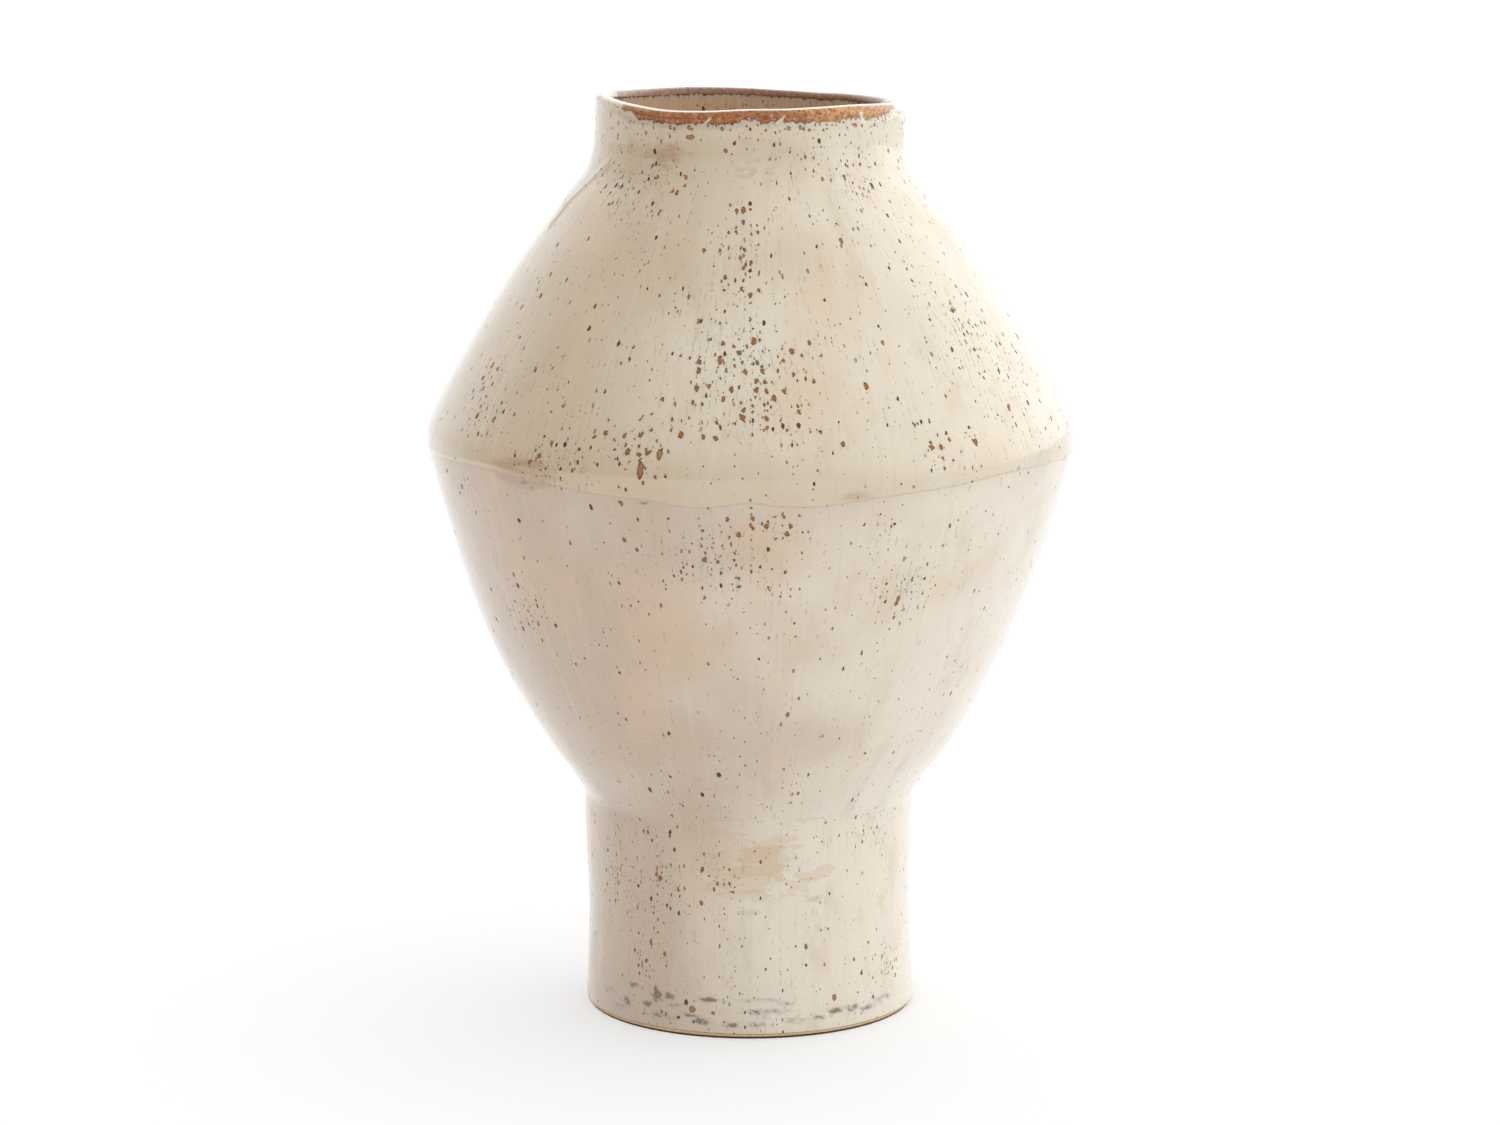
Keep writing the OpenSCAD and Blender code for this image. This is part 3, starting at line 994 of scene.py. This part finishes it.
def glaze(name, pink, cream, spots_at=()):
    """Cream glaze over iron-bearing clay, with the brown band where it runs thin at the lip."""
    s = Surface(name)
    color = overlap(s, brushwork(s, ground(s, pink, cream)))
    color = lining(s, color)
    # Painted shade: a browner line along the wrinkles stands in for the shade in their folds.
    color = s.mix(s.ramp(s.field("crease"), 0.9, 0.2, 0.0, 0.55), color, UMBER)
    color, spots, pits = iron(s, smudges(s, color))
    color, in_band, holes = iron_band(s, marks(s, color, spots_at))
    s.set("Base Color", color)

    matt = s.plus(s.times(spots, 0.18), s.times(in_band, 0.05))
    uneven = s.times(s.noise(s.place, 9.0, 3), 0.10)
    s.set("Roughness", s.plus(matt, uneven, GLOSS))
    dimples = s.times(s.noise(s.place, 5.0), 0.10)
    s.bump(s.plus(pits, holes, dimples, s.times(s.noise(s.along(1.6, 14.0)), 0.035)))
    s.set("IOR", 1.55)
    s.set("Specular IOR Level", s.ramp(spots, 0.0, 1.0, 0.5, 0.15))
    s.set("Coat Weight", s.ramp(spots, 0.0, 1.0, 0.75, 0.10))
    s.set("Coat Roughness", 0.05)
    return s.material


def clay(name, light, dark):
    """Bare fired clay, gritty, with a browner line where the glaze stops."""
    s = Surface(name)
    grit = s.noise(s.place, 0.9, 4, 0.7)
    patch = s.noise(s.place, 11.0, 3)
    color = s.mix(s.ramp(grit, 0.30, 0.72), dark, light)
    color = s.mix(s.ramp(patch, 0.4, 0.7, 0.0, 0.35), color, CLAY_PATCH)
    line = s.times(s.ramp(s.field("height"), GLAZE_FOOT - 0.45, GLAZE_FOOT - 0.2), 0.85)
    s.set("Base Color", s.mix(line, color, CLAY_LINE))
    s.set("Roughness", s.ramp(grit, 0.2, 0.8, 0.62, 0.85))
    s.bump(s.times(grit, 0.16))
    return s.material


def felt(name):
    """Pressed felt: short crossing fibres, matt, in browns dark enough to also paint the shadow line
    under the foot.
    """
    s = Surface(name)
    fibre = s.noise(s.bent(s.place, 1.0, 0.8), 0.35, 4, 0.8)
    s.set("Base Color", s.mix(s.ramp(fibre, 0.3, 0.7), FELT_AND_SHADOW_DARK, FELT_AND_SHADOW_LIGHT))
    s.set("Roughness", s.ramp(fibre, 0.2, 0.8, 0.85, 1.0))
    s.bump(s.times(fibre, 0.25))
    s.set("Sheen Weight", 0.3)
    return s.material


UPPER_SPOTS = [
    (-18.6, 277, 1.5, 4.0),
    (-15.5, 284, 1.4, 2.4),
    (-21.8, 417, 2.1, 1.1),
    (-8.6, 411.5, 0.9, 1.1),
]
LOWER_SPOTS = [
    (-20.2, 13, 1.5, 1.5),
    (30.3, 17.2, 1.1, 1.6),
    (-12.8, 12, 0.9, 0.9),
    (-34.5, 20, 0.8, 2.0),
]
MATERIALS = {
    "upper_glaze": glaze("upper_glaze", tint(199, 179, 152), tint(217, 206, 185), UPPER_SPOTS),
    "lower_glaze": glaze("lower_glaze", tint(193, 171, 150), tint(221, 211, 194), LOWER_SPOTS),
    "rim_glaze": glaze("rim_glaze", tint(199, 179, 154), tint(219, 208, 187)),
    "liner_glaze": glaze("liner_glaze", tint(200, 174, 148), tint(205, 184, 156)),
    "bare_clay": clay("bare_clay", tint(222, 192, 146), tint(184, 150, 106)),
    "slip": clay("slip", tint(222, 196, 158), tint(184, 154, 118)),
    "felt": felt("felt"),
}


# -------- pieces


def place_piece(piece, slot, node):
    piece.data.materials.append(MATERIALS[slot])
    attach(piece, "root")
    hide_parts(node)


def glaze_shell(name, node, start, end, edge, **near_edge):
    """A stretch of an outer coat, with its back on the clay."""
    heights = spaced(GLAZE_OUT, start, end, GLAZE_ROW, edge, **near_edge)
    back = np.concatenate([heights[:0:-BACK_SKIP], heights[:1]])
    loop = stretch(GLAZE_OUT, heights, 1.0) + stretch(CLAY_OUT, back)
    place_piece(revolve(name, loop, wander=True), node, node)


BACK_SKIP = 3  # rows of a coat's face for each row of its back
FOOT_TOP = high("foot_slip")
NECK = high("neck_slip")

glaze_shell("glaze_foot", "lower_glaze", GLAZE_FOOT, FOOT_TOP, GLAZE_FOOT, reach=20, edge_row=0.7)
glaze_shell("glaze_bowl", "lower_glaze", FOOT_TOP, OVERLAP, OVERLAP)
glaze_shell("glaze_shoulder", "upper_glaze", OVERLAP, NECK, OVERLAP)
glaze_shell("glaze_collar", "upper_glaze", NECK, BAND, BAND)

rim_loop = (
    stretch(GLAZE_OUT, spaced(GLAZE_OUT, BAND, LIP_Z, LIP_ROW), 1.0)
    + lip_arc(LIP_HALF, 14)
    + stretch(GLAZE_IN, spaced(GLAZE_IN, LIP_Z, BAND, LIP_ROW), 0.0, -1)
    + stretch(CLAY_IN, [BAND, LIP_Z], 0.0, -1)
    + lip_arc(LIP_CLAY, 8)[::-1]
    + stretch(CLAY_OUT, [LIP_Z, BAND])
)
place_piece(revolve("glaze_rim", rim_loop), "rim_glaze", "rim_glaze")

LINER_SPLIT = 380.0  # height that the mouth lets one see down to, with closer rows above it
LINER_COLUMNS = 400
LINER_FLOOR = SLAB_TOP + LINER_T
liner_edge = float(radius(GLAZE_IN, LINER_FLOOR))
liner_loop = (
    at_radius([(SLAB_TOP, 0.0), (SLAB_TOP, 25.0)], -1)
    + stretch(CLAY_IN, spaced(CLAY_IN, SLAB_TOP, BAND, HIDDEN_ROW), 0.0, -1)
    + stretch(GLAZE_IN, spaced(GLAZE_IN, BAND, LINER_SPLIT, 1.0), 0.0, -1)
    + stretch(GLAZE_IN, spaced(GLAZE_IN, LINER_SPLIT - 3, SLAB_TOP + 4, HIDDEN_ROW), 0.0, -1)
    + at_radius([(LINER_FLOOR + 0.6, liner_edge - 1.0), (LINER_FLOOR, liner_edge - 3.5)], -1)
    + at_radius([(LINER_FLOOR, 45.0), (LINER_FLOOR, 20.0), (LINER_FLOOR, 0.0)], -1)
)
glaze_liner = revolve("glaze_liner", liner_loop, LINER_COLUMNS, poles=True)
place_piece(glaze_liner, "liner_glaze", "liner_glaze")


def rings(node):
    """Least and greatest radius of a CAD node's vertices at each of its heights, upwards."""
    found = {}
    for vertex, around in zip(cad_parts[node].data.vertices, radii(node)):
        found.setdefault(round(vertex.co.z / MM, 2), []).append(around)
    return [(height, min(found[height]), max(found[height])) for height in sorted(found)]


class Joint:
    """A stepped joint between two clay sections, read from the slip that fills it."""

    def __init__(self, node):
        found = rings(node)
        self.bottom, self.inner, _ = found[0]
        self.top = found[-1][0]
        self.slip = found[1][0] - self.bottom
        self.shelf = self.bottom + self.slip
        self.ledge = self.top - self.slip
        self.outer = self.inner + self.slip

    def under(self):
        """The lower section's end."""
        return at_radius([(self.bottom, self.inner), (self.ledge, self.inner)])

    def over(self):
        """The upper section's end."""
        return at_radius([(self.top, self.outer), (self.shelf, self.outer)])

    def filling(self):
        return (
            stretch(CLAY_OUT, [self.bottom, self.shelf])
            + self.over()[::-1]
            + stretch(CLAY_IN, [self.top, self.ledge])
            + self.under()[::-1]
        )


def wall(start, end, low_end, high_end):
    """A clay section's loop: its outer face from start, its inner face down to low_end."""
    return (
        stretch(CLAY_OUT, spaced(CLAY_OUT, start, end, HIDDEN_ROW))
        + high_end
        + stretch(CLAY_IN, spaced(CLAY_IN, low_end[0], low_end[1], HIDDEN_ROW))
    )


FOOT_JOINT = Joint("foot_slip")
BELLY_JOINT = Joint("belly_slip")
NECK_JOINT = Joint("neck_slip")


def section(below, above):
    """The loop of a clay section between two joints."""
    loop = wall(below.shelf, above.bottom, (above.ledge, below.top), above.under())
    return loop + below.over()


def level(ring):
    """The two points of a ring, from the inner to the outer one."""
    height, inner, outer = ring
    return at_radius([(height, inner), (height, outer)])


# The bare clay edge, rounded and a little behind the glaze
base_slip = rings("base_slip")
clay_r = float(radius(GLAZE_OUT, GLAZE_FOOT)) - 0.3
clay_edge = [(0.0, 0.9), (0.15, 0.4), (0.4, 0.1), (0.8, 0.0)]
foot_loop = (
    at_radius([(CLAY_FOOT, base_slip[0][2])])
    + at_radius([(CLAY_FOOT + up, clay_r - back) for up, back in clay_edge])
    + at_radius([(GLAZE_FOOT, clay_r)])
    + wall(GLAZE_FOOT + 0.1, FOOT_JOINT.bottom, (FOOT_JOINT.ledge, SLAB_TOP), FOOT_JOINT.under())
    + level(base_slip[1])[::-1]
)
collar_loop = (
    stretch(CLAY_OUT, spaced(CLAY_OUT, NECK_JOINT.shelf, LIP_Z, HIDDEN_ROW))
    + lip_arc(LIP_CLAY, 8)
    + stretch(CLAY_IN, spaced(CLAY_IN, LIP_Z, NECK_JOINT.top, HIDDEN_ROW))
    + NECK_JOINT.over()
)
base_slip_loop = (
    level(base_slip[0]) + level(base_slip[1]) + level(base_slip[3])[::-1] + level(base_slip[2])[::-1]
)

# The slab, with trimming grooves in its underside
GROOVE_STEP = 3.0
GROOVE_DEPTH = 0.35
slab = rings("base_slab")
hollow_z, _, hollow_r = slab[0]
groove_radii = np.arange(GROOVE_STEP, hollow_r - 1, GROOVE_STEP)
grooves = [(hollow_z + GROOVE_DEPTH * (index % 2), around) for index, around in enumerate(groove_radii)]
slab_loop = (
    at_radius([(hollow_z, 0.0)] + grooves + [(hollow_z, hollow_r)])
    + at_radius([(slab[1][0], hollow_r), (slab[1][0], slab[1][2])])
    + at_radius([(SLAB_TOP, slab[-1][2]), (SLAB_TOP, 30.0), (SLAB_TOP, 0.0)])
)
for name, loop, slot, node in (
    ("clay_foot", foot_loop, "bare_clay", "foot_wall"),
    ("clay_bowl", section(FOOT_JOINT, BELLY_JOINT), "bare_clay", "bowl_wall"),
    ("clay_shoulder", section(BELLY_JOINT, NECK_JOINT), "bare_clay", "shoulder_wall"),
    ("clay_collar", collar_loop, "bare_clay", "collar_wall"),
    ("slip_foot", FOOT_JOINT.filling(), "slip", "foot_slip"),
    ("slip_belly", BELLY_JOINT.filling(), "slip", "belly_slip"),
    ("slip_neck", NECK_JOINT.filling(), "slip", "neck_slip"),
    ("slip_base", base_slip_loop, "slip", "base_slip"),
):
    place_piece(revolve(name, loop, HIDDEN_COLUMNS), slot, node)
clay_slab = revolve("clay_slab", slab_loop, HIDDEN_COLUMNS, poles=True)
place_piece(clay_slab, "bare_clay", "base_slab")


FELT_COLUMNS = 480
FELT_ROUGH = 0.12  # mm, unevenness of its edges


def felt_strip(node):
    """A strip bent into an open ring, its long edges a little uneven."""
    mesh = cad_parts[node].data
    angles = np.sort([math.degrees(math.atan2(v.co.x, -v.co.y)) % 360 for v in mesh.vertices])
    gaps = np.diff(np.append(angles, angles[0] + 360))
    widest = int(np.argmax(gaps))
    start = angles[(widest + 1) % len(angles)]
    reach = 360 - gaps[widest]
    inner, outer = min(radii(node)), max(radii(node))
    thick = high(node)
    columns = FELT_COLUMNS
    turn = start + np.linspace(0, reach, columns)
    rough = np.random.default_rng(41).normal(0, FELT_ROUGH, (4, columns))
    section_points = [(inner, 0.0), (outer, 0.0), (outer, thick), (inner, thick)]
    points = []
    for step, at in enumerate(turn):
        angle = math.radians(at)
        for corner, (around, up) in enumerate(section_points):
            r = around - abs(rough[corner, step])
            points.append((r * math.sin(angle) * MM, -r * math.cos(angle) * MM, up * MM))
    faces = [(0, 1, 2, 3), (4 * columns - 1, 4 * columns - 2, 4 * columns - 3, 4 * columns - 4)]
    for step in range(columns - 1):
        for corner in range(4):
            a = 4 * step + corner
            b = 4 * step + (corner + 1) % 4
            faces.append((a, a + 4, b + 4, b))
    return mesh_object("felt", points, faces)


# The felt ring under the foot, its dark colour partly a painted shadow line
place_piece(felt_strip("felt_strip"), "felt", "felt_strip")


# -------- camera, light and floor

CAMERA_DISTANCE = 2.1085  # m
CAMERA_PITCH = math.radians(9.92)
AIM = 0.4905  # share of the vase's height that the camera looks at
FILM = 36.0  # mm
LENS = 107.0  # mm
FLOOR_REACH = 40.0  # m
FLOOR_GREY = (0.5, 0.5, 0.5, 1)
FLOOR_GLOW = 0.44
WHITE = (1, 1, 1, 1)


def camera():
    """The photo's view: level sideways, looking down a little."""
    data = bpy.data.cameras.new("camera")
    data.sensor_width = FILM
    data.lens = LENS
    data.clip_end = 100.0
    found = linked("camera", data)
    bpy.context.scene.camera = found
    target = Vector((0, 0, AIM * (cad_box[1][2] - cad_box[0][2])))
    backwards = Vector((0, -math.cos(CAMERA_PITCH), math.sin(CAMERA_PITCH)))
    found.location = target + CAMERA_DISTANCE * backwards
    found.rotation_euler = (math.pi / 2 - CAMERA_PITCH, 0, 0)


def studio():
    """Plain white surroundings, brightest behind and to the right."""
    scene = bpy.context.scene
    scene.view_settings.view_transform = "Standard"
    scene.world = bpy.data.worlds.new("studio")
    g = Graph(scene.world)
    x, y, z = g.new("SeparateXYZ", g.new("TexCoord").outputs["Generated"]).outputs
    sideways = g.plus(g.times(x, 0.44), 0.80)
    behind = g.ramp(y, 0.0, 0.7, 0.0, 0.75)
    right = g.ramp(x, 0.55, 1.0, 0.0, 0.6)
    above = g.ramp(z, 0.05, 0.8, 0.0, 0.55)
    lit = g.new("Background")
    g.fill(lit.inputs["Strength"], g.plus(sideways, behind, right, above))
    seen = g.new("Background", WHITE)
    camera_ray = g.new("LightPath").outputs["Is Camera Ray"]
    chosen = g.new("MixShader", camera_ray, lit.outputs[0], seen.outputs[0])
    g.new("OutputWorld", chosen.outputs[0])


def floor():
    """A pale floor, glowing a little to be as white as the surroundings."""
    corners = [(x * FLOOR_REACH, y * FLOOR_REACH, 0) for x, y in ((-1, -1), (1, -1), (1, 1), (-1, 1))]
    piece = mesh_object("floor", corners, [(0, 1, 2, 3)])
    material = bpy.data.materials.new("floor")
    material.use_nodes = True
    shader = material.node_tree.nodes["Principled BSDF"]
    shader.inputs["Base Color"].default_value = FLOOR_GREY
    shader.inputs["Roughness"].default_value = 0.9
    shader.inputs["Emission Color"].default_value = WHITE
    shader.inputs["Emission Strength"].default_value = FLOOR_GLOW
    piece.data.materials.append(material)


camera()
studio()
floor()
